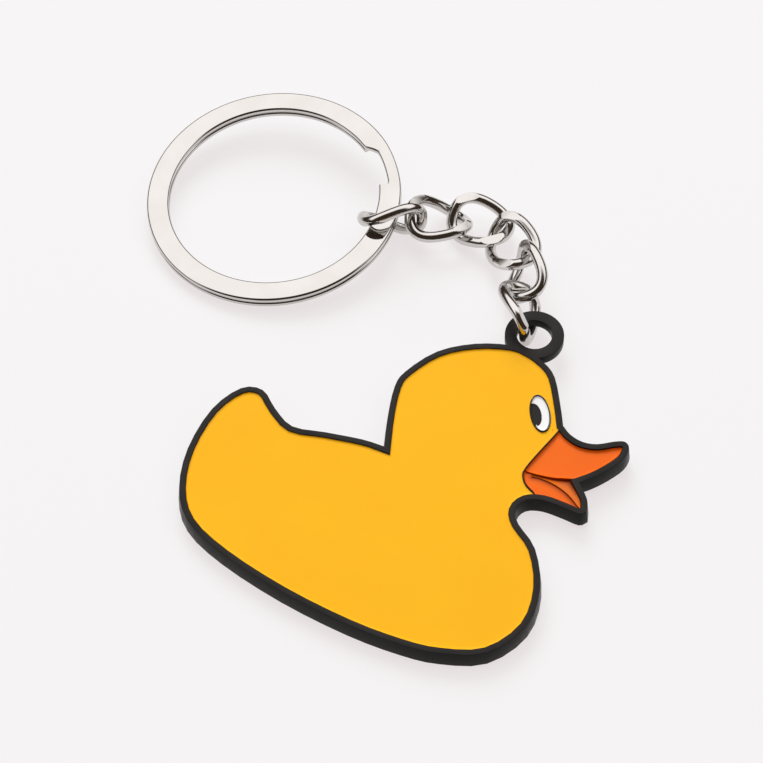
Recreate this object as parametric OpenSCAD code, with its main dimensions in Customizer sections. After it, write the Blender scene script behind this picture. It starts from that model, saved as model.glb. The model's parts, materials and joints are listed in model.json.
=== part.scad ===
// Keychain: an enamelled duck charm, six twisted curb links and a flat split ring.
// Everything lies on a table at z = 0, with the duck's foot along X and its head towards +Y.
// Sizes are in millimetres.

/* [Charm] */
// Thickness of the metal plate
plate_t = 2; // [1.4:0.1:2.5]
// Width of the raised black rim round the colour
rim_w = 0.7; // [0.5:0.05:0.9]
// How far the back edge stands out past the front edge
draft = 0.2; // [0.1:0.05:0.4]
// Depth of the colour pockets below the rim
pocket_depth = 0.75; // [0.5:0.05:0.9]
// How far the yellow enamel stays below the rim
enamel_recess = 0.2; // [0.1:0.05:0.3]
// Width of the thin raised lines round the eye and along the bill
line_w = 0.16; // [0.12:0.02:0.3]
// Side clearance between enamel and metal
enamel_gap = 0.03; // [0.02:0.01:0.05]

/* [Lug] */
// Height of the lug's hole above the duck's foot
lug_y = 43.4; // [43:0.1:44]
// Outside diameter of the lug
lug_od = 6.7; // [6.2:0.1:7.2]
// Diameter of the hole in the lug
lug_hole = 4; // [3.9:0.1:4.2]
// Thickness of the lug, flush with the rim on top
lug_t = 1.2; // [0.9:0.1:1.3]

/* [Chain] */
// Wire diameter of every link
wire_d = 1.3; // [1.26:0.01:1.31]
// Outside length of a link
link_length = 8.2; // [8.1:0.1:8.4]
// Outside width of a link
link_width = 6.6; // [6.55:0.05:6.7]
// Turn of each end of a link out of the middle plane, in degrees
link_twist = 30; // [29.5:0.5:31]
// Height of the flats ground on top and bottom of a link, from its middle
link_flat = 1.15; // [1.1:0.05:1.4]
// Clearance between the wires of neighbouring links
link_gap = 0.1; // [0.08:0.01:0.11]

/* [Split ring] */
// Outside diameter of the ring
ring_od = 30; // [28:0.5:32]
// Width of the flat strip
strip_w = 2.6; // [2.2:0.1:2.7]
// Thickness of one turn of the strip
strip_t = 0.7; // [0.55:0.05:0.7]
// Space between the two turns
turn_gap = 0.08; // [0.05:0.01:0.12]
// Width of the neck where one turn steps over to the other
neck_w = 1.5; // [1.2:0.1:1.8]
// Angle taken up by the step, in degrees
step_angle = 28; // [22:1:32]
// Share of the free room inside the ring link that lies between the strip and the link's end
ring_share = 0.34; // [0.34:0.01:0.45]

/* [Hidden] */

// The whole object is moved so that the middle of its box is above the origin.
table_shift = [16.13, -29.69, 0];

// Colours for the preview only
black_metal = [0.2, 0.2, 0.21];
nickel = [0.8, 0.79, 0.77];
yellow = [0.99, 0.72, 0.15];
orange = [0.97, 0.43, 0.12];
deep_orange = [0.85, 0.42, 0.17];
white = [0.96, 0.96, 0.95];
black = [0.1, 0.1, 0.1];

// The outline of the duck's front face is four smooth strokes that meet at sharp corners.
neck_corner = [-6, 21.5];
bill_tip_low = [17, 26.1];
mouth_corner = [14.4, 28.9];
bill_root = [9.1, 34.4];
body_stroke = [neck_corner, [-8.5, 21], [-12.5, 19.6], [-16, 18.3], [-19, 19.3], [-21.5, 20.6],
  [-23.7, 19.5], [-24.8, 15.4], [-24, 9.7], [-21.8, 5], [-18.5, 2], [-13, 0.6], [-5, 0.1],
  [3, 0.5], [9, 1.5], [13, 2.8], [17.1, 5.5], [18.9, 10.4], [17.7, 15.2], [14.7, 19.1],
  [11.6, 20.8], [10.4, 22.2], [10.7, 23.8], [12.3, 24.8], [14.7, 25.2], [16.5, 25.4], bill_tip_low];
lower_bill_stroke = [bill_tip_low, [16.2, 27.5], mouth_corner];
upper_bill_stroke = [mouth_corner, [15.3, 30.2], [16.2, 32], [16.9, 34.1], [16.7, 35.7], [15.9, 36.2],
  [14.9, 35.6], [13.5, 34.3], [12, 33.7], [10.4, 33.8], bill_root];
head_stroke = [bill_root, [7.6, 36.4], [5, 39.5], [3, 40.6], [0.7, 41], [-1.5, 40.7],
  [-5, 38.7], [-8, 35.5], [-9.5, 31.3], [-9.4, 28.9], [-7.9, 25.2], neck_corner];
outline = concat(stroke(body_stroke), stroke(lower_bill_stroke), stroke(upper_bill_stroke),
  stroke(head_stroke));

// The line between the yellow head and the orange bill, and the two ridges of the mouth
bill_edge = [[9.1, 36], [9.1, 33.4], [8.8, 30.3], [8.6, 27.4], [8.9, 26.4], [9.8, 25.6], [11.4, 24.9],
  [13, 22.5]];
ridge_upper = [[8, 27.1], [9.2, 27.3], [10.6, 27.7], [11.9, 28.2], [13, 28.8], [18, 31.1]];
ridge_lower = [[9.6, 27], [10.6, 27.3], [12.3, 27.4], [14, 27.1], [15.6, 26.4], [17.5, 25.4]];
// A corner past the bill, where the areas cut by these lines end
past_bill = [22, 38];
// How far the mouth's area reaches under the upper ridge
mouth_lap = 0.3;
// How high the upper bill, the lower bill and the mouth between them stand, as shares of the yellow
upper_share = 0.65;
lower_share = 0.35;
mouth_share = 0.45;

// Middle, half lengths and lean of the eye, then those of the pupil
eye_at = [6.1, 34.5];
eye_long = 2.35;
eye_short = 0.96;
eye_lean = 39;
pupil_at = [5.7, 34.1];
pupil_long = 1.5;
pupil_short = 0.68;

// How far the flared wall reaches into the core of the plate
wall_lap = 0.2;

// Heights inside the charm, from its back
pocket_z = plate_t - pocket_depth;
enamel_z = plate_t - enamel_recess;
lug_z = plate_t - lug_t;
// The wire under the lug props the head end of the charm up.
lug_rise = wire_d + 0.4;
charm_tilt = atan((lug_rise - lug_z) / lug_y);

// Half length and half width of the loop that a link's wire follows along its middle
loop_a = (link_length - wire_d) / 2;
loop_b = (link_width - wire_d) / 2;
// The loop is squarer than an ellipse by this power.
loop_power = 2.5;
// Steps along the loop and round the wire
loop_steps = 48;
wire_sides = 12;

// How each link lies, from the charm to the ring: heading, nose-up angle and roll, in degrees
link_heading = [128, 124, 146, 187, 218, 215];
link_pitch = [3, -3, -6, 1, 14, 3];
link_roll = [55, -55, -28, -15, 4, 65];
// Where the wires cross: on the link before (0 is its far end), then on the link itself (180 is
// its near end), as angles round the loop
cross_before = [-16, 2, 0, -1, 5, 8];
cross_own = [203, 152, 205, 190, 225, 184];
// Where the first wire stands in the lug's hole, from the middle of the hole
hook_at = [-0.85, -0.55];

ring_r = ring_od / 2;
ring_in_r = ring_r - strip_w;
// Direction from the middle of the ring to the ring link, and where the upper turn ends
ring_bearing = 10.9;
ring_tab = 36;
// The link that passes under the ring props it up: how high, and in which direction it rises
ring_rise = 3.3;
ring_lean = asin(ring_rise / ring_od);
ring_lean_heading = 82;

// Smooth curves through points

// One point of a curve between b and c, with a and d as its neighbours
function curve_point(a, b, c, d, t) =
  0.5 * (2 * b + (c - a) * t + (2 * a - 5 * b + 4 * c - d) * t * t
  + (3 * b - a - 3 * c + d) * t * t * t);
// A stroke leaves out its last point, which starts the next stroke.
function stroke(p, n = 3) = [for (i = [0 : len(p) - 2], j = [0 : n - 1])
  curve_point(i == 0 ? 2 * p[0] - p[1] : p[i - 1], p[i], p[i + 1],
    i == len(p) - 2 ? 2 * p[i + 1] - p[i] : p[i + 2], j / n)];
function full_stroke(p, n = 3) = concat(stroke(p, n), [p[len(p) - 1]]);

// The outline moved outwards by a distance, corner by corner
function unit(v) = v / norm(v);
function side_of(p, q) = unit([q[1] - p[1], p[0] - q[0]]);
function moved(p, i, by) =
  let (n = len(p), s = side_of(p[(i + n - 1) % n], p[i]), t = side_of(p[i], p[(i + 1) % n]))
  p[i] + by * (s + t) / (1 + s * t);
function oval(at, long, short, lean, n = 40) = [for (i = [0 : n - 1])
  at + [short * cos(360 * i / n) * cos(lean) - long * sin(360 * i / n) * sin(lean),
    short * cos(360 * i / n) * sin(lean) + long * sin(360 * i / n) * cos(lean)]];

// The wire of a link, in the link's own frame: X along the link, Z out of its middle plane
function power(v, e) = sign(v) * pow(abs(v), e);
function loop_point(t) =
  let (x = loop_a * power(cos(t), 2 / loop_power), y = loop_b * power(sin(t), 2 / loop_power),
    turn = -link_twist * x / loop_a)
  [x, y * cos(turn), y * sin(turn)];
function loop_dir(t) = unit(loop_point(t + 0.5) - loop_point(t - 0.5));
function loop_up(t) =
  let (turn = -link_twist * loop_point(t)[0] / loop_a, up = [0, -sin(turn), cos(turn)],
    along = loop_dir(t))
  unit(up - (up * along) * along);

// Turning a link's frame: heading round Z, nose up, then roll round its own length
function turned(h, p, r) = [
  [cos(h) * cos(p), -cos(h) * sin(p) * sin(r) - sin(h) * cos(r),
    -cos(h) * sin(p) * cos(r) + sin(h) * sin(r)],
  [sin(h) * cos(p), -sin(h) * sin(p) * sin(r) + cos(h) * cos(r),
    -sin(h) * sin(p) * cos(r) - cos(h) * sin(r)],
  [sin(p), cos(p) * sin(r), cos(p) * cos(r)]];
// Where link k lies: its turn and its middle. Each wire crosses the one before at right angles to
// both, one wire and one clearance away.
function link_place(k) =
  let (turn = turned(link_heading[k], link_pitch[k], link_roll[k]))
  k == 0
  ? [turn, [hook_at[0], lug_y + hook_at[1], lug_rise] - turn * loop_point(cross_own[0])]
  : let (before = link_place(k - 1),
      there = before[0] * loop_dir(cross_before[k]),
      here = turn * loop_dir(cross_own[k]),
      n = unit(cross(there, here)),
      ahead = (before[0] + turn) * [1, 0, 0],
      away = n * ahead < 0 ? -n : n,
      wire = before[1] + before[0] * loop_point(cross_before[k]))
    [turn, wire - (wire_d + link_gap) * away - turn * loop_point(cross_own[k])];

ring_end = link_place(5)[1] + link_place(5)[0] * loop_point(0);
// The room is what the wire of the link before and the strip leave of the inside length.
ring_room = link_length - 3 * wire_d - link_gap - strip_w;
ring_reach = ring_in_r - wire_d / 2 - ring_share * ring_room;
ring_at = [ring_end[0] - ring_reach * cos(ring_bearing),
  ring_end[1] - ring_reach * sin(ring_bearing), ring_r * sin(ring_lean)];

module charm_lies() {
  translate(table_shift)
    translate([0, -draft, 0])
      rotate([charm_tilt, 0, 0])
        translate([0, draft, 0])
          children();
}

// The plate is a straight core with a flared wall round it.
module plate_blank() {
  n = len(outline);
  section = [[-wall_lap, 0], [draft, 0], [0, plate_t], [-wall_lap, plate_t]];
  points = [for (i = [0 : n - 1], q = section) let (p = moved(outline, i, q[0])) [p[0], p[1], q[1]]];
  faces = [for (i = [0 : n - 1], k = [0 : 3])
    let (a = 4 * i + k, b = 4 * i + (k + 1) % 4, c = 4 * ((i + 1) % n) + k,
      d = 4 * ((i + 1) % n) + (k + 1) % 4)
    each [[a, b, d], [a, d, c]]];
  polyhedron(points, faces, convexity = 6);
  linear_extrude(plate_t)
    offset(delta = -wall_lap / 2)
      polygon(outline);
}

module field() {
  offset(delta = -rim_w)
    polygon(outline);
}

module bill_area() {
  last = len(bill_edge) - 1;
  polygon(concat(full_stroke(bill_edge), [[past_bill[0], bill_edge[last][1]], past_bill,
    [bill_edge[0][0], past_bill[1]]]));
}

module eye_area() {
  polygon(oval(eye_at, eye_long, eye_short, eye_lean));
}

module pupil_area() {
  intersection() {
    eye_area();
    polygon(oval(pupil_at, pupil_long, pupil_short, eye_lean));
  }
}

module upper_area() {
  polygon(concat(full_stroke(ridge_upper), [past_bill, [ridge_upper[0][0], past_bill[1]]]));
}

module mouth_area() {
  difference() {
    polygon(concat(full_stroke(ridge_lower), [past_bill, ridge_lower[0] + [0, mouth_lap]]));
    upper_area();
  }
}

module bill_field() {
  intersection() {
    offset(r = -enamel_gap)
      field();
    bill_area();
  }
}

module colour_pockets() {
  difference() {
    field();
    difference() {
      offset(r = line_w)
        bill_area();
      bill_area();
    }
    difference() {
      offset(r = line_w)
        eye_area();
      eye_area();
    }
  }
}

// charm_plate: the black metal plate with its rim, raised lines and lug
module charm_plate() {
  color(black_metal)
    charm_lies()
      difference() {
        union() {
          plate_blank();
          translate([0, lug_y, lug_z])
            cylinder(h = lug_t, d = lug_od, $fn = 64);
        }
        translate([0, 0, pocket_z])
          linear_extrude(pocket_depth + 1)
            colour_pockets();
        translate([0, lug_y, lug_z - 1])
          cylinder(h = lug_t + 2, d = lug_hole, $fn = 64);
      }
}

module enamel(height) {
  charm_lies()
    translate([0, 0, pocket_z])
      linear_extrude(height)
        children();
}

// enamel_body: the yellow fill of head and body
module enamel_body() {
  color(yellow)
    enamel(enamel_z - pocket_z)
      difference() {
        offset(r = -enamel_gap)
          field();
        offset(r = line_w + enamel_gap)
          bill_area();
        offset(r = line_w + enamel_gap)
          eye_area();
      }
}

// enamel_eye: the white of the eye
module enamel_eye() {
  color(white)
    enamel(enamel_z - pocket_z)
      difference() {
        offset(r = -enamel_gap)
          eye_area();
        offset(r = enamel_gap)
          pupil_area();
      }
}

// enamel_pupil: the black of the eye
module enamel_pupil() {
  color(black)
    enamel(enamel_z - pocket_z)
      offset(r = -enamel_gap)
        pupil_area();
}

// enamel_upper_bill: the orange upper half of the bill
module enamel_upper_bill() {
  color(orange)
    enamel(upper_share * (enamel_z - pocket_z))
      offset(r = -enamel_gap)
        intersection() {
          bill_field();
          upper_area();
        }
}

// enamel_mouth: the sunken wedge inside the open bill
module enamel_mouth() {
  color(deep_orange)
    enamel(mouth_share * (enamel_z - pocket_z))
      offset(r = -enamel_gap)
        intersection() {
          bill_field();
          mouth_area();
        }
}

// enamel_lower_bill: the orange lower half of the bill
module enamel_lower_bill() {
  color(orange)
    enamel(lower_share * (enamel_z - pocket_z))
      offset(r = -enamel_gap)
        difference() {
          bill_field();
          upper_area();
          mouth_area();
        }
}

// One link: round wire swept along the twisted loop, with flats ground on top and bottom
module link(k) {
  place = link_place(k);
  n = loop_steps;
  m = wire_sides;
  ground = [for (i = [0 : n - 1], j = [0 : m - 1])
    let (t = 360 * i / n, s = 360 * j / m, up = loop_up(t), out = cross(loop_dir(t), up),
      p = loop_point(t) + wire_d / 2 * (cos(s) * out + sin(s) * up))
    [p[0], p[1], max(-link_flat, min(link_flat, p[2]))]];
  points = [for (p = ground) place[1] + place[0] * p];
  faces = [for (i = [0 : n - 1], j = [0 : m - 1])
    let (a = i * m + j, b = i * m + (j + 1) % m, c = ((i + 1) % n) * m + j,
      d = ((i + 1) % n) * m + (j + 1) % m)
    each [[a, b, d], [a, d, c]]];
  color(nickel)
    translate(table_shift)
      polyhedron(points, faces, convexity = 6);
}

// charm_link: the link that hooks through the lug
module charm_link() {
  link(0);
}

// chain_link_4 to chain_link_1: the plain links, counted from the ring
module chain_link_4() {
  link(1);
}

module chain_link_3() {
  link(2);
}

module chain_link_2() {
  link(3);
}

module chain_link_1() {
  link(4);
}

// ring_link: the link that hooks round the split ring
module ring_link() {
  link(5);
}

module turn_of_strip(z) {
  translate([0, 0, z])
    rotate([0, 0, step_angle])
      rotate_extrude(angle = 360 - step_angle, $fn = 96)
        translate([ring_in_r, 0])
          square([strip_w, strip_t]);
}

// The neck steps down from the upper turn to the lower turn, going clockwise, and flares to the full
// width where it leaves the upper turn. It is thinner than the strip by a skin, so that its ends go
// into the strip without sharing a face.
module neck() {
  n = 10;
  skin = 0.02;
  flare_share = 0.3;
  rise = strip_t + turn_gap;
  reach = step_angle + 2;
  points = [for (i = [0 : n])
    let (a = reach * i / n - 1, f = i / n, z = rise * f * f * (3 - 2 * f),
      flare = max(0, 1 - (1 - f) / flare_share), in_r = ring_r - neck_w - flare * (strip_w - neck_w - skin))
    each [for (q = [[in_r, z + skin], [ring_r - skin, z + skin],
      [ring_r - skin, z + strip_t - skin], [in_r, z + strip_t - skin]])
      [q[0] * cos(a), q[0] * sin(a), q[1]]]];
  sides = [for (i = [0 : n - 1], j = [0 : 3]) let (a = 4 * i + j, b = 4 * i + (j + 1) % 4)
    each [[a, b, b + 4], [a, b + 4, a + 4]]];
  polyhedron(points, concat([[3, 2, 1, 0]], sides, [[4 * n, 4 * n + 1, 4 * n + 2, 4 * n + 3]]));
}

// split_ring: two turns of flat strip with a neck between them
module split_ring() {
  color(nickel)
    translate(table_shift)
      translate(ring_at)
        rotate([0, 0, ring_lean_heading])
          rotate([0, -ring_lean, 0])
            rotate([0, 0, ring_tab - ring_lean_heading])
              union() {
                turn_of_strip(0);
                turn_of_strip(strip_t + turn_gap);
                neck();
              }
}

charm_plate();
enamel_body();
enamel_eye();
enamel_pupil();
enamel_upper_bill();
enamel_mouth();
enamel_lower_bill();
charm_link();
chain_link_4();
chain_link_3();
chain_link_2();
chain_link_1();
ring_link();
split_ring();
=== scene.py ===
# %% [markdown]
# # A duck charm on a short chain
# The real thing is a souvenir keychain: a flat metal duck filled with coloured enamel, a few
# twisted curb links and a flat split ring. The CAD model already has every piece in its place.
# This lesson gives each piece the rounded edges, the hollows and the finish that it has in life.

# %% Load the fixed frame
import json
import math

import bmesh
import bpy
import numpy as np
from mathutils import Matrix, Vector
from mathutils.bvhtree import BVHTree


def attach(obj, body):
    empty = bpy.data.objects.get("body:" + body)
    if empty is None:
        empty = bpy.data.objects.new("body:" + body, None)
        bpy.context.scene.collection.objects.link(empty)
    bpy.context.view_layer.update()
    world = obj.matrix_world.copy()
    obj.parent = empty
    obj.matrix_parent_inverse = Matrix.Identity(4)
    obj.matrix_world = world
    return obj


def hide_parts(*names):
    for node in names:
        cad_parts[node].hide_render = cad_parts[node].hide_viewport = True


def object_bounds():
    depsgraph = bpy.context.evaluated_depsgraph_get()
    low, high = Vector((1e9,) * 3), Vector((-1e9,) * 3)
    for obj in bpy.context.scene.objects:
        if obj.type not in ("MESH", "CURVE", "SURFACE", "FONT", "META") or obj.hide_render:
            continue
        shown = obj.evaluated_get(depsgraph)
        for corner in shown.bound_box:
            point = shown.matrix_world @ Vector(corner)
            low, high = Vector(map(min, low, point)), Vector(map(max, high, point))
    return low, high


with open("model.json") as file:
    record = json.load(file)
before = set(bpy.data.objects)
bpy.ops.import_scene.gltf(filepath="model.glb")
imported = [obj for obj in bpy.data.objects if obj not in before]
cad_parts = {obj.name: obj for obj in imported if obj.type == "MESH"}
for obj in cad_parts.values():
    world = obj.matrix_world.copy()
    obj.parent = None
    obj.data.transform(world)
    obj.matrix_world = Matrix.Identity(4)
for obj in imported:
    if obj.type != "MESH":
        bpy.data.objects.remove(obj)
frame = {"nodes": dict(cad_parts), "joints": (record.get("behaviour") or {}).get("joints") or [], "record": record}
cad_low, cad_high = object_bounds()
MM = 0.001


def in_mm(vector):
    return [round(x / MM, 2) for x in vector]


print("CAD nodes:", len(frame["nodes"]), "box in mm:", in_mm(cad_high - cad_low))

# %% [markdown]
# ## Camera
# The photograph looks down on the table from the duck's lower right. A long lens keeps the ring
# and the duck at nearly the same scale. The camera aims at one point of the table, so its place
# follows from a heading, a height angle and a distance. The lamp is placed the same way later.

# %% Place the camera
AIM = Vector((4.09, 0.53, 0)) * MM
VIEW_HEADING = math.radians(33)
VIEW_ELEVATION = math.radians(53.4)
VIEW_DISTANCE = 300 * MM
SENSOR_WIDTH = 36
LENS = 125.7
CLIP_START = 0.01


def toward(heading, elevation):
    return Vector((math.sin(heading) * math.cos(elevation),
                   -math.cos(heading) * math.cos(elevation),
                   math.sin(elevation)))


def stand_back(thing, target, way, distance):
    thing.location = target + way * distance
    thing.rotation_mode = "QUATERNION"
    thing.rotation_quaternion = (-way).to_track_quat("-Z", "Y")
    bpy.context.scene.collection.objects.link(thing)


camera_data = bpy.data.cameras.new("camera")
camera_data.sensor_width = SENSOR_WIDTH
camera_data.lens = LENS
camera_data.clip_start = CLIP_START
camera = bpy.data.objects.new("camera", camera_data)
stand_back(camera, AIM, toward(VIEW_HEADING, VIEW_ELEVATION), VIEW_DISTANCE)
bpy.context.scene.camera = camera
print("camera at", in_mm(camera.location), "mm")

# %% [markdown]
# ## Table
# The table is a plain pale sheet, far wider than the keychain. It only has to carry the soft
# shadow, so a single grid with a pale matt finish is enough. In the photograph the sheet is lit
# from below as well, so part of what the camera and the metal see of it is a glow of its own. The
# rest is the matt finish, which keeps the shadow.

# %% Lay the table
FLOOR_HALF = 1.5
FLOOR_DROP = 0.01 * MM
FLOOR_CELLS = 4
TABLE_COLOUR = (0.74, 0.86, 0.885, 1)
TABLE_ROUGHNESS = 0.9
TABLE_SHEEN = 0.1
TABLE_GLOW = (0.972, 0.905, 0.908, 1)
GLOW_SHARE = 0.75

floor_bm = bmesh.new()
bmesh.ops.create_grid(floor_bm, x_segments=FLOOR_CELLS, y_segments=FLOOR_CELLS, size=FLOOR_HALF,
                      matrix=Matrix.Translation((0, 0, cad_low.z - FLOOR_DROP)))
floor_mesh = bpy.data.meshes.new("table")
floor_bm.to_mesh(floor_mesh)
floor_bm.free()
floor = bpy.data.objects.new("table", floor_mesh)
bpy.context.scene.collection.objects.link(floor)
print("table", FLOOR_HALF * 2, "m wide")

# %% Make the table glow
table_finish = bpy.data.materials.new("pale table")
table_finish.use_nodes = True
table_shader = table_finish.node_tree.nodes["Principled BSDF"]
table_shader.inputs["Base Color"].default_value = TABLE_COLOUR
table_shader.inputs["Roughness"].default_value = TABLE_ROUGHNESS
table_shader.inputs["Specular IOR Level"].default_value = TABLE_SHEEN
table_nodes, table_links = table_finish.node_tree.nodes, table_finish.node_tree.links
glow = table_nodes.new("ShaderNodeEmission")
glow.inputs["Color"].default_value = TABLE_GLOW
seen_by = table_nodes.new("ShaderNodeLightPath")
either = table_nodes.new("ShaderNodeMath")
either.operation = "MAXIMUM"
part = table_nodes.new("ShaderNodeMath")
part.operation = "MULTIPLY"
part.inputs[1].default_value = GLOW_SHARE
table_mix = table_nodes.new("ShaderNodeMixShader")
table_links.new(seen_by.outputs["Is Camera Ray"], either.inputs[0])
table_links.new(seen_by.outputs["Is Glossy Ray"], either.inputs[1])
table_links.new(either.outputs["Value"], part.inputs[0])
table_links.new(part.outputs["Value"], table_mix.inputs["Fac"])
table_links.new(table_shader.outputs["BSDF"], table_mix.inputs[1])
table_links.new(glow.outputs["Emission"], table_mix.inputs[2])
table_links.new(table_mix.outputs["Shader"], table_nodes["Material Output"].inputs["Surface"])
floor_mesh.materials.append(table_finish)
print("table glow:", GLOW_SHARE, "of what the camera sees")

# %% [markdown]
# ## Light
# Polished nickel shows its surroundings, so the room matters as much as the lamp. A pale ceiling
# stands over the table. The walls below it are dark brown, and the dark reaches higher on the side
# where the photographer stands. The ceiling lights the colours evenly, and the walls draw the dark
# lines along the wires. Only the camera sees a plain pale background in place of the room.

# %% Colour the room
PALE_DOME = (1.0, 0.972, 0.962, 1)
DARK_ROOM = (0.032, 0.022, 0.015, 1)
BACKGROUND = (0.905, 0.89, 0.896, 1)
DOME_LEVEL = 1.42
DARK_ELEVATION = math.radians(40)
DARK_RIM, DARK_CORE = math.radians(58), math.radians(42)
WALL_TOP, WALL_DARK = math.radians(37), math.radians(26)

world = bpy.data.worlds.new("room")
bpy.context.scene.world = world
world.use_nodes = True
room, room_links = world.node_tree.nodes, world.node_tree.links
room.clear()
direction = room.new("ShaderNodeTexCoord")
toward_dark = room.new("ShaderNodeVectorMath")
toward_dark.operation = "DOT_PRODUCT"
toward_dark.inputs[1].default_value = toward(VIEW_HEADING, DARK_ELEVATION)
dark_edge = room.new("ShaderNodeMapRange")
dark_edge.interpolation_type = "SMOOTHSTEP"
dark_edge.inputs["From Min"].default_value = math.cos(DARK_RIM)
dark_edge.inputs["From Max"].default_value = math.cos(DARK_CORE)
height = room.new("ShaderNodeSeparateXYZ")
low_wall = room.new("ShaderNodeMapRange")
low_wall.interpolation_type = "SMOOTHSTEP"
low_wall.inputs["From Min"].default_value = math.sin(WALL_TOP)
low_wall.inputs["From Max"].default_value = math.sin(WALL_DARK)
darker = room.new("ShaderNodeMath")
darker.operation = "MAXIMUM"
room_colour = room.new("ShaderNodeMix")
room_colour.data_type = "RGBA"
room_colour.inputs["A"].default_value = PALE_DOME
room_colour.inputs["B"].default_value = DARK_ROOM
print("room runs from pale", PALE_DOME[:3], "to dark", DARK_ROOM[:3])

# %% Light the scene from the room
room_light = room.new("ShaderNodeBackground")
room_light.inputs["Strength"].default_value = DOME_LEVEL
seen = room.new("ShaderNodeBackground")
seen.inputs["Color"].default_value = BACKGROUND
path = room.new("ShaderNodeLightPath")
choose = room.new("ShaderNodeMixShader")
world_out = room.new("ShaderNodeOutputWorld")
room_links.new(direction.outputs["Generated"], toward_dark.inputs[0])
room_links.new(toward_dark.outputs["Value"], dark_edge.inputs["Value"])
room_links.new(direction.outputs["Generated"], height.inputs["Vector"])
room_links.new(height.outputs["Z"], low_wall.inputs["Value"])
room_links.new(dark_edge.outputs["Result"], darker.inputs[0])
room_links.new(low_wall.outputs["Result"], darker.inputs[1])
room_links.new(darker.outputs["Value"], room_colour.inputs["Factor"])
room_links.new(room_colour.outputs["Result"], room_light.inputs["Color"])
room_links.new(path.outputs["Is Camera Ray"], choose.inputs["Fac"])
room_links.new(room_light.outputs["Background"], choose.inputs[1])
room_links.new(seen.outputs["Background"], choose.inputs[2])
room_links.new(choose.outputs["Shader"], world_out.inputs["Surface"])
bpy.context.scene.view_settings.view_transform = "Standard"
print("room with", len(room), "nodes")

# %% [markdown]
# One wide soft lamp stands behind the keychain. It gives the short soft shadows on the near side
# of the pieces. In the photograph no lamp is mirrored in the metal, so this one is hidden from
# reflections, and the metal shows only the room and the table.

# %% Hang the lamp
LAMP_ASIDE = math.radians(8)
LAMP_HEADING = VIEW_HEADING + math.pi + LAMP_ASIDE
LAMP_ELEVATION = math.radians(37)
LAMP_DISTANCE = 1.2
LAMP_SIZE = 0.8
LAMP_POWER = 11.5
LAMP_COLOUR = (0.97, 1.0, 1.0)

lamp_data = bpy.data.lights.new("soft lamp", "AREA")
lamp_data.shape = "DISK"
lamp_data.size = LAMP_SIZE
lamp_data.energy = LAMP_POWER
lamp_data.color = LAMP_COLOUR
lamp = bpy.data.objects.new("soft lamp", lamp_data)
lamp.visible_glossy = False
stand_back(lamp, Vector(), toward(LAMP_HEADING, LAMP_ELEVATION), LAMP_DISTANCE)
print("lamp", LAMP_DISTANCE, "m away")

# %% [markdown]
# ## Finishes
# Every finish here is a Principled shader with a little noise in it. The noise is measured in
# Object coordinates, so its scale is the number of waves in a metre: 1000 gives grains of about a
# millimetre. One helper adds a noise. The others turn a noise into a range of values, a change of
# colour or a small bump. Most of a noise lies between two levels, which stand for its ends.

# %% Helpers for finishes
NOISE_LOW, NOISE_HIGH = 0.3, 0.7


def new_finish(name, **values):
    finish = bpy.data.materials.new(name)
    finish.use_nodes = True
    shader = finish.node_tree.nodes["Principled BSDF"]
    for socket, value in values.items():
        shader.inputs[socket.replace("_", " ")].default_value = value
    return finish, shader


def noise_in(finish, scale, detail=2):
    tree = finish.node_tree
    place = tree.nodes.new("ShaderNodeTexCoord")
    noise = tree.nodes.new("ShaderNodeTexNoise")
    noise.inputs["Scale"].default_value = scale
    noise.inputs["Detail"].default_value = detail
    tree.links.new(place.outputs["Object"], noise.inputs["Vector"])
    return noise.outputs["Fac"]


def spread(finish, value, low, high, socket):
    tree = finish.node_tree
    ramp = tree.nodes.new("ShaderNodeMapRange")
    ramp.inputs["From Min"].default_value = NOISE_LOW
    ramp.inputs["From Max"].default_value = NOISE_HIGH
    ramp.inputs["To Min"].default_value = low
    ramp.inputs["To Max"].default_value = high
    tree.links.new(value, ramp.inputs["Value"])
    tree.links.new(ramp.outputs["Result"], socket)


def mottle(finish, value, one, other, socket):
    tree = finish.node_tree
    ramp = tree.nodes.new("ShaderNodeValToRGB")
    ramp.color_ramp.elements[0].position = NOISE_LOW
    ramp.color_ramp.elements[0].color = (*one, 1)
    ramp.color_ramp.elements[1].position = NOISE_HIGH
    ramp.color_ramp.elements[1].color = (*other, 1)
    tree.links.new(value, ramp.inputs["Fac"])
    tree.links.new(ramp.outputs["Color"], socket)


def raise_bumps(finish, shader, value, height):
    tree = finish.node_tree
    bump = tree.nodes.new("ShaderNodeBump")
    bump.inputs["Strength"].default_value = 1.0
    bump.inputs["Distance"].default_value = height
    tree.links.new(value, bump.inputs["Height"])
    tree.links.new(bump.outputs["Normal"], shader.inputs["Normal"])


print("finish helpers ready")

# %% [markdown]
# The links and the ring are steel with bright nickel plate. Plate is never quite even: it is a
# little warmer in places, and its surface waves gently, which breaks up the reflections.

# %% Nickel
NICKEL_WARM = (0.607, 0.589, 0.567)
NICKEL_COOL = (0.645, 0.631, 0.613)
NICKEL_CLOUDS, NICKEL_GRAIN, NICKEL_WAVES = 260, 3000, 700


def nickel(name, wave_height, rough_low, rough_high):
    finish, shader = new_finish(name, Metallic=1.0)
    mottle(finish, noise_in(finish, NICKEL_CLOUDS), NICKEL_WARM, NICKEL_COOL,
           shader.inputs["Base Color"])
    spread(finish, noise_in(finish, NICKEL_GRAIN, detail=4), rough_low, rough_high,
           shader.inputs["Roughness"])
    raise_bumps(finish, shader, noise_in(finish, NICKEL_WAVES, detail=1), wave_height)
    return finish


chain_nickel = nickel("chain nickel", wave_height=0.012 * MM, rough_low=0.1, rough_high=0.18)
ring_nickel = nickel("ring nickel", wave_height=0.002 * MM, rough_low=0.04, rough_high=0.1)
print("nickel finishes:", chain_nickel.name, ring_nickel.name)

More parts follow.
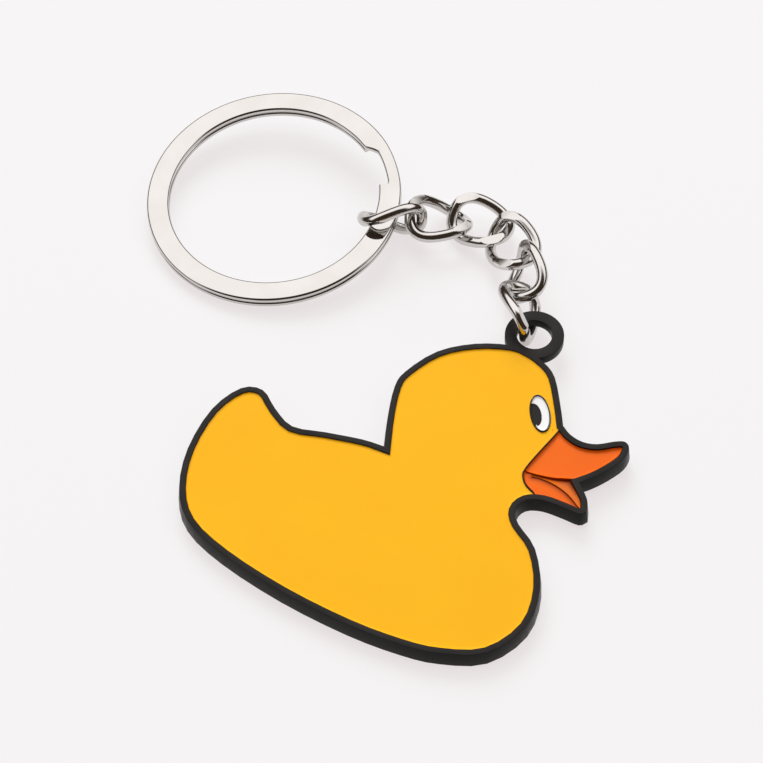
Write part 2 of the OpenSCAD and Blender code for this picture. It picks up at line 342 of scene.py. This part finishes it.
# %% [markdown]
# The duck's metal is plated black with a satin sheen. Under a lens the plating has a fine grain,
# and its sheen changes a little from place to place.

# %% Black plating
PLATING_DARK = (0.023, 0.021, 0.02)
PLATING_PALE = (0.03, 0.0275, 0.0265)
PLATING_CLOUDS, PLATING_SHEEN, PLATING_GRAIN = 400, 1500, 9000
GRAIN_HEIGHT = 0.004 * MM

black_plating, black_shader = new_finish("black plating", Specular_IOR_Level=0.08)
mottle(black_plating, noise_in(black_plating, PLATING_CLOUDS, detail=3),
       PLATING_DARK, PLATING_PALE, black_shader.inputs["Base Color"])
spread(black_plating, noise_in(black_plating, PLATING_SHEEN, detail=4),
       low=0.26, high=0.42, socket=black_shader.inputs["Roughness"])
raise_bumps(black_plating, black_shader,
            noise_in(black_plating, PLATING_GRAIN, detail=3), GRAIN_HEIGHT)
print("black plating ready")

# %% [markdown]
# Soft enamel is a thick gloss paint that is dropped into the pockets and baked. Its colour is
# even, with faint clouds of pigment, and its surface settles into long shallow waves. Shade in
# the bill's corners is painted into the colour: each point of a fill holds its amount of painted
# shade in an attribute, and the finish goes from its own colour to a dark shade colour by it.

# %% Enamel
PIGMENT_CLOUDS, ENAMEL_WAVES = 130, 220
WAVE_HEIGHT = 0.004 * MM
# Colour of the painted shade in the bill's corners; the enamel is blended towards it.
PAINTED_SHADE_ORANGE = (0.17, 0.013, 0.001)


def enamel(name, thin, full, rough=0.22, shade_colour=None):
    finish, shader = new_finish(name, Roughness=rough, Specular_IOR_Level=0.16)
    nodes, links = finish.node_tree.nodes, finish.node_tree.links
    target = shader.inputs["Base Color"]
    # Painted shade: a per-point attribute blends the base colour towards the shade colour.
    if shade_colour:
        painted_shade = nodes.new("ShaderNodeAttribute")
        painted_shade.attribute_name = "painted_shade"
        blend = nodes.new("ShaderNodeMix")
        blend.data_type = "RGBA"
        blend.inputs["B"].default_value = (*shade_colour, 1)
        links.new(painted_shade.outputs["Fac"], blend.inputs["Factor"])
        links.new(blend.outputs["Result"], target)
        target = blend.inputs["A"]
    mottle(finish, noise_in(finish, PIGMENT_CLOUDS, detail=3), thin, full, target)
    raise_bumps(finish, shader, noise_in(finish, ENAMEL_WAVES, detail=1), WAVE_HEIGHT)
    return finish


yellow_enamel = enamel("yellow enamel", (0.965, 0.468, 0.002), (0.985, 0.488, 0.003))
orange_enamel = enamel("orange enamel", (0.88, 0.135, 0.003), (0.92, 0.15, 0.004),
                       shade_colour=PAINTED_SHADE_ORANGE)
# The mouth's colour is the orange made darker and browner: painted shade for the sunken wedge.
shaded_mouth_orange = enamel("mouth orange with painted shade", (0.72, 0.15, 0.012), (0.78, 0.17, 0.016),
                      shade_colour=PAINTED_SHADE_ORANGE)
white_enamel = enamel("white enamel", (0.88, 0.88, 0.885), (0.9, 0.9, 0.905))
black_enamel = enamel("black enamel", (0.012, 0.01, 0.009), (0.018, 0.016, 0.015),
                      rough=0.25)
print("enamels: yellow, orange, mouth, white, black")

# %% [markdown]
# ## From a bmesh to a finished piece
# Each piece ends the same way. Doubled points are merged, the faces are turned outwards, sharp
# edges are marked by their angle in degrees, the piece gets its finish and rides on its CAD body,
# and the CAD node it stands for is hidden.

# %% Helpers for pieces
FLAT_ANGLE = math.radians(0.4)
DOUBLE_DISTANCE = 0.0005 * MM


def merged_copy(node, weld):
    bm = bmesh.new()
    bm.from_mesh(frame["nodes"][node].data)
    bmesh.ops.remove_doubles(bm, verts=bm.verts, dist=weld)
    bmesh.ops.dissolve_limit(bm, angle_limit=FLAT_ANGLE, verts=bm.verts, edges=bm.edges)
    return bm


def finish_piece(name, bm, finish, body, node, sharp=35):
    bmesh.ops.remove_doubles(bm, verts=bm.verts, dist=DOUBLE_DISTANCE)
    bmesh.ops.recalc_face_normals(bm, faces=bm.faces)
    mesh = bpy.data.meshes.new(name)
    bm.to_mesh(mesh)
    bm.free()
    mesh.shade_smooth()
    mesh.set_sharp_from_angle(angle=math.radians(sharp))
    mesh.materials.append(finish)
    piece = bpy.data.objects.new(name, mesh)
    bpy.context.scene.collection.objects.link(piece)
    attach(piece, body)
    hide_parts(node)
    print(name, len(mesh.polygons), "faces")


print("piece helpers ready")

# %% [markdown]
# ## The charm's plate
# The plate is die-struck and then plated, so no edge on it is quite sharp. A copy of the CAD plate
# has its flat faces joined again, and a bevel rounds every edge that turns by more than a set
# angle. That is quicker and truer than drawing the duck a second time. The walls as they were
# before the bevel are kept for measuring the enamel.

# %% Round the plate's edges
PLATE_WELD = 0.02 * MM
EDGE_ROUND = 0.06 * MM
EDGE_ANGLE = math.radians(40)

plate_bm = merged_copy("charm_plate", PLATE_WELD)
plate_walls = BVHTree.FromBMesh(plate_bm)
corners = [e for e in plate_bm.edges
           if len(e.link_faces) == 2 and e.calc_face_angle() > EDGE_ANGLE]
bmesh.ops.bevel(plate_bm, geom=corners, offset=EDGE_ROUND, offset_type="OFFSET", affect="EDGES",
                segments=3, profile=0.5, material=-1, clamp_overlap=False)
finish_piece("plate", plate_bm, black_plating, "charm", "charm_plate", sharp=50)

# %% [markdown]
# ## The enamel
# Wet enamel creeps up the metal walls and dries in that shape, so each colour has a raised lip
# along the metal. The lid of the CAD fill is taken off, and its border is extruded inwards a few
# times. Where the border is tight, a point stops before it crosses the one that comes from the
# other side. The last ring is filled, and each point is raised by how close the plate is to it.

# %% Take off the lid and draw in rings
FILL_WELD = 0.002 * MM
LID_FACING = 0.9
LID_BAND = 0.02 * MM
SHARE_STEP = 0.05
CLEAR_SHARE = 0.96

back = next(m for m in frame["record"]["mounts"] if m["name"] == "back")
charm_up = -Vector(back["axis"]).normalized()
plate_points = frame["nodes"]["charm_plate"].data.vertices
plate_top = max(Vector(v.co).dot(charm_up) for v in plate_points)


def open_fill(node):
    bm = merged_copy(node, FILL_WELD)
    # Each point can carry an amount of painted shade; it stays at nought unless a fill is given one.
    bm.verts.layers.float.new("painted_shade")
    bmesh.ops.recalc_face_normals(bm, faces=bm.faces)
    level = max(v.co.dot(charm_up) for v in bm.verts)
    lid = [f for f in bm.faces if f.normal.dot(charm_up) > LID_FACING
           and abs(f.calc_center_median().dot(charm_up) - level) < LID_BAND]
    bmesh.ops.delete(bm, geom=lid, context="FACES_ONLY")
    loose = [e for e in bm.edges if not e.link_faces]
    bmesh.ops.delete(bm, geom=loose, context="EDGES")
    return bm, [e for e in bm.edges if len(e.link_faces) == 1], plate_top - level


def inward(vert, border):
    sides = [-e.link_faces[0].normal for e in vert.link_edges if e in border]
    return (sides[0] + sides[1]) / (1 + sides[0].dot(sides[1]))


def reach_of(start, way, far, walls):
    share = 1.0
    while share > SHARE_STEP:
        clear = walls.find_nearest(start + way * far * share)[3]
        if clear >= CLEAR_SHARE * far * share:
            break
        share -= SHARE_STEP
    return far * share


print("plate top at", round(plate_top / MM, 3), "mm")

# %% [markdown]
# A fill meets metal on most sides. Where the metal is only a thin raised line, as round the eye,
# the smaller fill runs a little way over it and leaves a hair of black. Where a fill meets another
# fill, as along the mouth, there is no wall to climb, and its edge is a low bead or a rounded drop.
# Ring widths, reach, lap and bead are given in millimetres.

# %% Shape one fill
CREEP_SHARE = 0.65
LINE_SHARE = 0.15
LINE_LOOK = 0.26 * MM
LINE_DROP = 0.3 * MM
TOUCHING = 0.05 * MM
WET_RANGE = 0.1 * MM
LAP_PROUD = 0.004 * MM
# Extra cuts across a fill's inside let its painted shade change within it.
SHADE_CUTS = 4


def beside_thin_line(start, way):
    beyond = start - way.normalized() * LINE_LOOK + charm_up * MM
    ground = plate_walls.ray_cast(beyond, -charm_up)[0]
    near = plate_walls.find_nearest(start)[3] < TOUCHING
    return near and ground is not None and ground.dot(charm_up) < plate_top - LINE_DROP


def first_trail(border):
    edges = set(border)
    trail = {}
    for vert in {v for e in border for v in e.verts}:
        start, way = vert.co.copy(), inward(vert, edges)
        trail[vert] = start, way, beside_thin_line(start, way)
    return trail


def next_trail(bm, border, trail):
    made = bmesh.ops.extrude_edge_only(bm, edges=border)["geom"]
    fresh = [g for g in made if isinstance(g, bmesh.types.BMVert)]
    came = {v: next(e.other_vert(v) for e in v.link_edges if e.other_vert(v) in trail)
            for v in fresh}
    border = [g for g in made if isinstance(g, bmesh.types.BMEdge)]
    return border, {v: trail[came[v]] for v in fresh}


def fill_pocket(name, node, finish, rings, reach=0.1, lap=0.0, bead=0.0,
                slope=None, painted_shade=None):
    bm, border, recess = open_fill(node)
    walls = BVHTree.FromBMesh(bm)
    trail = first_trail(border)
    heights = {}
    far = 0.0
    for width in (0.0,) + rings:
        far += width * MM
        if width:
            border, trail = next_trail(bm, border, trail)
        for vert, (start, way, thin) in trail.items():
            if lap and thin and not far:
                vert.co = start - way.normalized() * lap * MM
                heights[vert] = recess + LAP_PROUD
                continue
            vert.co = start + way * reach_of(start, way, far, walls) if far else start
            lift = slope(vert.co) if slope else 0.0
            wet = math.exp(-plate_walls.find_nearest(start)[3] / WET_RANGE)
            gap = plate_walls.find_nearest(vert.co)[3]
            share = CREEP_SHARE if lap or not thin else LINE_SHARE
            rise = share * recess * math.exp(-gap / (reach * MM))
            roll = bead * MM * (1 - wet) * math.exp(-far / WET_RANGE)
            heights[vert] = rise + roll + lift
    filled = bmesh.ops.triangle_fill(bm, edges=border, use_beauty=True, normal=charm_up)["geom"]
    inside = [g for g in filled if isinstance(g, bmesh.types.BMEdge) and g not in border]
    for vert, height in heights.items():
        vert.co += charm_up * height
    # Painted shade: the inside is cut finer and each point gets its amount of shade.
    if painted_shade:
        bmesh.ops.subdivide_edges(bm, edges=inside, cuts=SHADE_CUTS, use_grid_fill=True)
        layer = bm.verts.layers.float["painted_shade"]
        for vert in bm.verts:
            vert[layer] = painted_shade(vert.co)
    finish_piece(name, bm, finish, "charm", node)


print("fill helper ready")

# %% Fill the head, the body and the eye
WIDE_RINGS = (0.04, 0.05, 0.06, 0.08, 0.1, 0.12)
SLIM_RINGS = (0.04, 0.05, 0.06, 0.08)
LINE_LAP = 0.15

fill_pocket("yellow_fill", "enamel_body", yellow_enamel, WIDE_RINGS)
fill_pocket("eye_white", "enamel_eye", white_enamel, SLIM_RINGS,
            lap=LINE_LAP)
fill_pocket("pupil", "enamel_pupil", black_enamel, SLIM_RINGS)

# %% [markdown]
# The bill is deeper than the rest and has three levels. The upper half ends in a bead over the
# mouth, the wedge of the mouth slopes down under that bead, and the lower half lies lowest. So the
# wedge is lowered where it is near the upper half and raised where it is near the lower half. The
# two corners under these steps are shaded partly by real shadow and partly by painted shade.

# %% Measure the bill
MOUTH_LOW, MOUTH_RISE = -0.16 * MM, 0.3 * MM
# How far the painted shade reaches in the wedge and on the lower half, and how dark it is there.
SHADE_DOWN = 0.45
SHADE_WIDTH = 0.7 * MM
WEDGE_SHADE = 0.85
WEDGE_REACH = 0.42 * MM


def node_tree_of(node):
    bm = merged_copy(node, FILL_WELD)
    tree = BVHTree.FromBMesh(bm)
    bm.free()
    return tree


upper_half = node_tree_of("enamel_upper_bill")
wedge = node_tree_of("enamel_mouth")
lower_half = node_tree_of("enamel_lower_bill")


def mouth_place(point):
    above = upper_half.find_nearest(point)[3]
    below = lower_half.find_nearest(point)[3]
    return above / (above + below), above + below


def mouth_slope(point):
    return MOUTH_LOW + MOUTH_RISE * mouth_place(point)[0]


# Painted shade in the wedge: darkest under the upper half's bead and where the wedge is narrow.
def shade_under_upper_half(point):
    down, width = mouth_place(point)
    return max(math.exp(-(down / SHADE_DOWN) ** 2), math.exp(-(width / SHADE_WIDTH) ** 2))


# Painted shade on the lower half, darkest next to the wedge.
def shade_under_wedge(point):
    return WEDGE_SHADE * math.exp(-(wedge.find_nearest(point)[3] / WEDGE_REACH) ** 2)


print("bill measured")

# %% Fill the bill
BILL_REACH = 0.15

fill_pocket("upper_bill", "enamel_upper_bill", orange_enamel, WIDE_RINGS,
            reach=BILL_REACH, lap=LINE_LAP, bead=0.08)
fill_pocket("mouth", "enamel_mouth", shaded_mouth_orange, SLIM_RINGS,
            slope=mouth_slope, painted_shade=shade_under_upper_half)
fill_pocket("lower_bill", "enamel_lower_bill", orange_enamel, SLIM_RINGS,
            reach=BILL_REACH, lap=LINE_LAP, bead=-0.05, painted_shade=shade_under_wedge)

# %% [markdown]
# ## The chain
# A curb link is a loop of round wire that has been twisted so that the chain lies flat, and then
# ground flat on both sides. A circle is spun into a plain ring of wire, and each point of it is
# moved to the same place on the twisted loop. A cutting plane then grinds the flats.

# %% Bend and grind one link
WIRE_R = 0.65 * MM
LOOP_A = 3.45 * MM
LOOP_B = 2.65 * MM
LOOP_POWER = 2.5
LINK_TWIST = math.radians(30)
LINK_FLAT = 1.15 * MM
SPUN_R = 10 * MM
WIRE_SIDES = 28
LOOP_STEPS = 112
TANGENT_STEP = math.radians(0.5)
ON_PLANE = 1e-9


def signed_power(value, exponent):
    return math.copysign(abs(value) ** exponent, value)


def loop_point(t):
    x = LOOP_A * signed_power(math.cos(t), 2 / LOOP_POWER)
    y = LOOP_B * signed_power(math.sin(t), 2 / LOOP_POWER)
    turn = -LINK_TWIST * x / LOOP_A
    return Vector((x, y * math.cos(turn), y * math.sin(turn))), turn


def loop_frame(t):
    point, turn = loop_point(t)
    ahead, behind = loop_point(t + TANGENT_STEP)[0], loop_point(t - TANGENT_STEP)[0]
    along = (ahead - behind).normalized()
    up = Vector((0, -math.sin(turn), math.cos(turn)))
    up = (up - along * up.dot(along)).normalized()
    return point, along.cross(up), up


def link_shape():
    bm = bmesh.new()
    upright = Matrix.Translation((SPUN_R, 0, 0)) @ Matrix.Rotation(math.pi / 2, 4, "X")
    bmesh.ops.create_circle(bm, segments=WIRE_SIDES, radius=WIRE_R, matrix=upright)
    bmesh.ops.spin(bm, geom=bm.verts[:] + bm.edges[:], cent=(0, 0, 0), axis=(0, 0, 1),
                   angle=2 * math.pi, steps=LOOP_STEPS, use_merge=True)
    for vert in bm.verts:
        out = math.hypot(vert.co.x, vert.co.y) - SPUN_R
        point, side, up = loop_frame(math.atan2(vert.co.y, vert.co.x))
        vert.co = point + side * out + up * vert.co.z
    for way in (1, -1):
        whole = bm.verts[:] + bm.edges[:] + bm.faces[:]
        cut = bmesh.ops.bisect_plane(bm, geom=whole, dist=ON_PLANE, clear_outer=True,
                                     plane_co=(0, 0, way * LINK_FLAT), plane_no=(0, 0, way))
        rims = [e for e in cut["geom_cut"] if isinstance(e, bmesh.types.BMEdge)]
        bmesh.ops.holes_fill(bm, edges=rims, sides=0)
    return bm


sample = link_shape()
print("one link:", len(sample.faces), "faces")
sample.free()

# %% [markdown]
# The link has to lie exactly where its CAD node lies. The node's points spread most along the
# link, less across it and least through it, so the three main directions of that spread are the
# link's own axes. Half a turn about any of them leaves a curb link looking the same, so their
# signs don't matter as long as they make a right-handed set.

# %% Lay the links
def node_axes(node):
    mesh = frame["nodes"][node].data
    points = np.array([v.co for v in mesh.vertices], float)
    middle = points.mean(0)
    axes = np.linalg.eigh(np.cov((points - middle).T))[1]
    along, across = Vector(axes[:, 2]), Vector(axes[:, 1])
    through = along.cross(across)
    turn = Matrix((along, across, through)).transposed().to_4x4()
    return Matrix.Translation(Vector(middle)) @ turn


LINKS = ("charm_link", "chain_link_4", "chain_link_3", "chain_link_2", "chain_link_1",
         "ring_link")
for link in LINKS:
    bm = link_shape()
    bmesh.ops.transform(bm, matrix=node_axes(link), verts=bm.verts)
    finish_piece(link + "_wire", bm, chain_nickel, link, link, sharp=30)

# %% [markdown]
# ## The split ring
# The ring is one flat strip wound twice round, with a narrow neck where it steps from the lower
# turn to the upper one. A rounded rectangle is spun nearly two full turns, rising a fixed step
# each time so that every point still tells how far along the strip it is. Then the rise is taken
# out again and the neck is drawn in.

# %% Wind the strip
RING_R = 15 * MM
STRIP_W = 2.6 * MM
STRIP_T = 0.7 * MM
TURN_GAP = 0.08 * MM
TURN_RISE = STRIP_T + TURN_GAP
STEP_ANGLE = 28
WIND_ANGLE = 720 - STEP_ANGLE
STRIP_ROUND = 0.3 * MM
ROUND_SEGMENTS = 5
WIND_STEPS = 278
WIND_RISE = 10 * MM


def strip_shape():
    bm = bmesh.new()
    inner = RING_R - STRIP_W
    corners = [bm.verts.new((r, 0, z)) for r, z in
               ((inner, 0), (RING_R, 0), (RING_R, STRIP_T), (inner, STRIP_T))]
    bm.faces.new(corners)
    bmesh.ops.bevel(bm, geom=corners, offset=STRIP_ROUND, offset_type="OFFSET", affect="VERTICES",
                    segments=ROUND_SEGMENTS, profile=0.5, material=-1, clamp_overlap=True)
    whole = bm.verts[:] + bm.edges[:] + bm.faces[:]
    bmesh.ops.spin(bm, geom=whole, cent=(0, 0, 0), axis=(0, 0, 1), dvec=(0, 0, WIND_RISE),
                   angle=math.radians(WIND_ANGLE), steps=WIND_STEPS, use_merge=False)
    return bm


strip_bm = strip_shape()
print("strip:", len(strip_bm.faces), "faces")

# %% [markdown]
# Along the strip an angle runs from the free end of the lower turn to the square end of the upper
# turn. The strip climbs between its two turns, and it is narrow there because its inner edge is
# drawn outwards. The neck starts and ends at shares of the climb.

# %% Draw in the neck
NECK_W = 1.5 * MM
NECK_START, NECK_START_SPAN = -0.05, 0.15
NECK_END, NECK_END_SPAN = 0.72, 0.28
STILL_SHARE, DRAWN_SPAN = 0.3, 0.4


def ease(x):
    x = min(max(x, 0), 1)
    return x * x * (3 - 2 * x)


for vert in strip_bm.verts:
    step = round((vert.co.z - STRIP_T / 2) / WIND_RISE)
    angle = STEP_ANGLE + step * WIND_ANGLE / WIND_STEPS
    climb = (angle - 360) / STEP_ANGLE
    narrowing = ease((climb - NECK_START) / NECK_START_SPAN)
    widening = ease((climb - NECK_END) / NECK_END_SPAN)
    pull = (STRIP_W - NECK_W) * narrowing * (1 - widening)
    radius = math.hypot(vert.co.x, vert.co.y)
    share = min(max((RING_R - radius) / STRIP_W - STILL_SHARE, 0) / DRAWN_SPAN, 1)
    pulled = (radius + pull * share) / radius
    rise = TURN_RISE * (ease(climb) - 1) + TURN_GAP / 2
    vert.co = Vector((vert.co.x * pulled, vert.co.y * pulled,
                      vert.co.z - step * WIND_RISE + rise))
print("neck", NECK_W / MM, "mm wide")

# %% [markdown]
# The ring lies where its joint lies. It leans with the joint's axis, and the square end of its
# strip is turned to its heading on the table.

# %% Lay the ring
TAB_HEADING = math.radians(36)

ring_joint = next(j for j in frame["joints"] if j["name"] == "ring_turn")
ring_axis = Vector(ring_joint["axis"]).normalized()
lean = math.acos(ring_axis.z)
lean_heading = math.atan2(-ring_axis.y, -ring_axis.x)
strip_turn = TAB_HEADING - lean_heading + math.radians(STEP_ANGLE)
ring_place = (Matrix.Translation(Vector(ring_joint["pos_m"]))
              @ Matrix.Rotation(lean_heading, 4, "Z") @ Matrix.Rotation(-lean, 4, "Y")
              @ Matrix.Rotation(strip_turn, 4, "Z"))
bmesh.ops.transform(strip_bm, matrix=ring_place, verts=strip_bm.verts)
finish_piece("split_ring_strip", strip_bm, ring_nickel, "split_ring", "split_ring")
